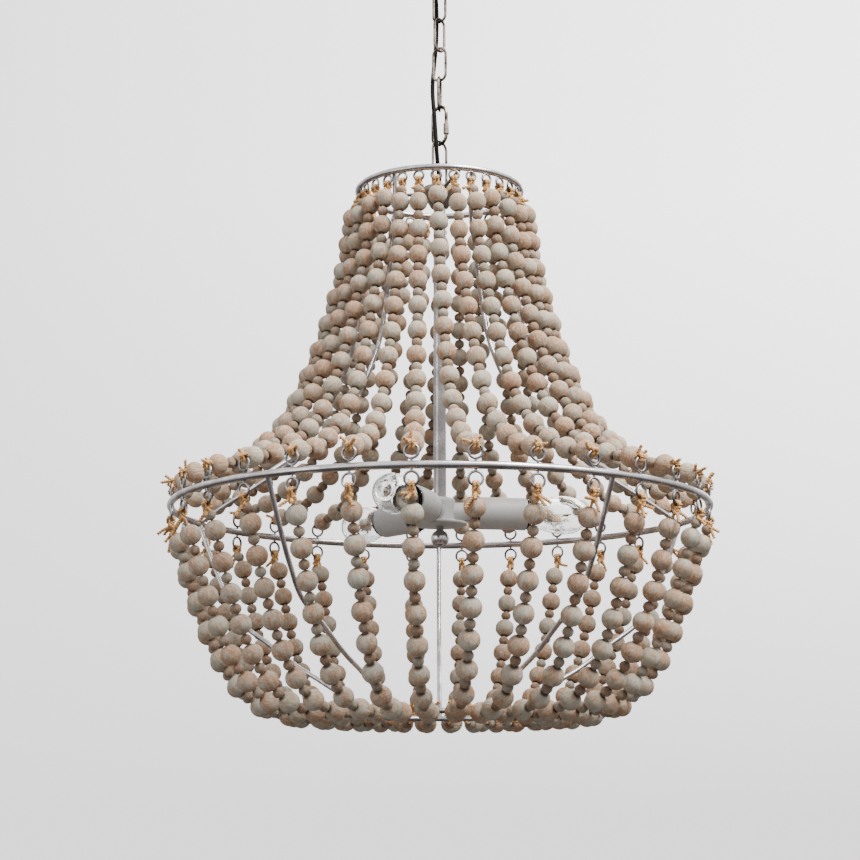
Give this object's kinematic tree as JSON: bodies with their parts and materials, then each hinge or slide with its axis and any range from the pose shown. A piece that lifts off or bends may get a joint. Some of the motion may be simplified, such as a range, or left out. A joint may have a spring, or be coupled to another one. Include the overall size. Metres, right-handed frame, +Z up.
{
  "type": "beaded chandelier",
  "caption": "Ceiling chandelier with a flared bell and a round basket of strung wooden beads on wire rings, lamps inside, hung on a short chain from a ceiling canopy.",
  "frame": {"origin": "middle of the ceiling bar's top face, which lies against the ceiling", "axes": "+Z up into the ceiling, -Y towards the viewer of the picture, +X to that viewer's right"},
  "size_m": [0.6, 0.6, 0.9028],
  "materials": {
    "iron": "aged dark pewter, satin, with bright worn edges",
    "frame": "satin silver paint with a light patina",
    "lamp_paint": "matte pale blue-grey paint",
    "socket": "black, satin",
    "cord": "black, satin",
    "bulb": "clear and glossy",
    "beads": "grey-washed matte wood, fine grain"
  },
  "bodies": {
    "ceiling_fitting": {"ceiling_bar": "iron", "canopy": "iron", "canopy_screw_1": "iron", "canopy_screw_2": "iron", "canopy_loop": "iron", "canopy_loop_nut": "iron", "cord_grommet": "cord", "power_cord": "cord"},
    "link_1": {"chain_link_1": "iron"},
    "link_2": {"chain_link_2": "iron"},
    "link_3": {"chain_link_3": "iron"},
    "link_4": {"chain_link_4": "iron"},
    "quick_link": {"quick_link": "iron"},
    "quick_link_sleeve": {"quick_link_sleeve": "iron"},
    "fixture": {"bail": "iron", "top_hub": "frame", "stem": "frame", "top_ring": "frame", "middle_ring": "frame", "bottom_ring": "frame", "upper_rib_1": "frame", "upper_rib_2": "frame", "upper_rib_3": "frame", "upper_rib_4": "frame", "upper_rib_5": "frame", "lower_rib_1": "frame", "lower_rib_2": "frame", "lower_rib_3": "frame", "lower_rib_4": "frame", "lower_rib_5": "frame", "lamp_hub": "lamp_paint", "finial": "frame", "lamp_socket_1": "socket", "lamp_sleeve_1": "lamp_paint", "lamp_socket_2": "socket", "lamp_sleeve_2": "lamp_paint", "lamp_socket_3": "socket", "lamp_sleeve_3": "lamp_paint", "upper_strands_1": "beads", "upper_strands_2": "beads", "upper_strands_3": "beads", "upper_strands_4": "beads", "upper_strands_5": "beads", "upper_strands_6": "beads", "lower_strands_1": "beads", "lower_strands_2": "beads", "lower_strands_3": "beads", "lower_strands_4": "beads", "lower_strands_5": "beads", "lower_strands_6": "beads"},
    "bulb_1": {"bulb_1": "bulb"},
    "bulb_2": {"bulb_2": "bulb"},
    "bulb_3": {"bulb_3": "bulb"}
  },
  "joints": [
    {"name": "link_1_swing", "type": "hinge", "parent": "ceiling_fitting", "child": "link_1", "pos_m": [0, 0, -0.0577], "axis": [0.5, 0.866, 0], "range_deg": [-15, 15], "deforming": ["power_cord"]},
    {"name": "link_2_swing", "type": "hinge", "parent": "link_1", "child": "link_2", "pos_m": [0, 0, -0.0937], "axis": [0.866, -0.5, 0], "range_deg": [-15, 15], "deforming": ["power_cord"]},
    {"name": "link_3_swing", "type": "hinge", "parent": "link_2", "child": "link_3", "pos_m": [0, 0, -0.1297], "axis": [0.7071, 0.7071, 0], "range_deg": [-15, 15], "deforming": ["power_cord"]},
    {"name": "link_4_swing", "type": "hinge", "parent": "link_3", "child": "link_4", "pos_m": [0, 0, -0.1657], "axis": [0.9063, -0.4226, 0], "range_deg": [-15, 15], "deforming": ["power_cord"]},
    {"name": "quick_link_swing", "type": "hinge", "parent": "link_4", "child": "quick_link", "pos_m": [0, 0, -0.2017], "axis": [0.1736, 0.9848, 0], "range_deg": [-15, 15], "deforming": ["power_cord"]},
    {"name": "fixture_swing", "type": "hinge", "parent": "quick_link", "child": "fixture", "pos_m": [0, 0, -0.243], "axis": [0.766, -0.6428, 0], "range_deg": [-15, 15], "deforming": ["power_cord"]},
    {"name": "quick_link_sleeve_slide", "type": "slide", "parent": "quick_link", "child": "quick_link_sleeve", "axis": [0, 0, 1], "range_m": [0, 0.009]},
    {"name": "bulb_1_slide", "type": "slide", "parent": "fixture", "child": "bulb_1", "axis": [-0.342, -0.9397, 0], "range_m": [0, 0.04]},
    {"name": "bulb_2_slide", "type": "slide", "parent": "fixture", "child": "bulb_2", "axis": [0.9848, 0.1736, 0], "range_m": [0, 0.04]},
    {"name": "bulb_3_slide", "type": "slide", "parent": "fixture", "child": "bulb_3", "axis": [-0.6428, 0.766, 0], "range_m": [0, 0.04]}
  ]
}
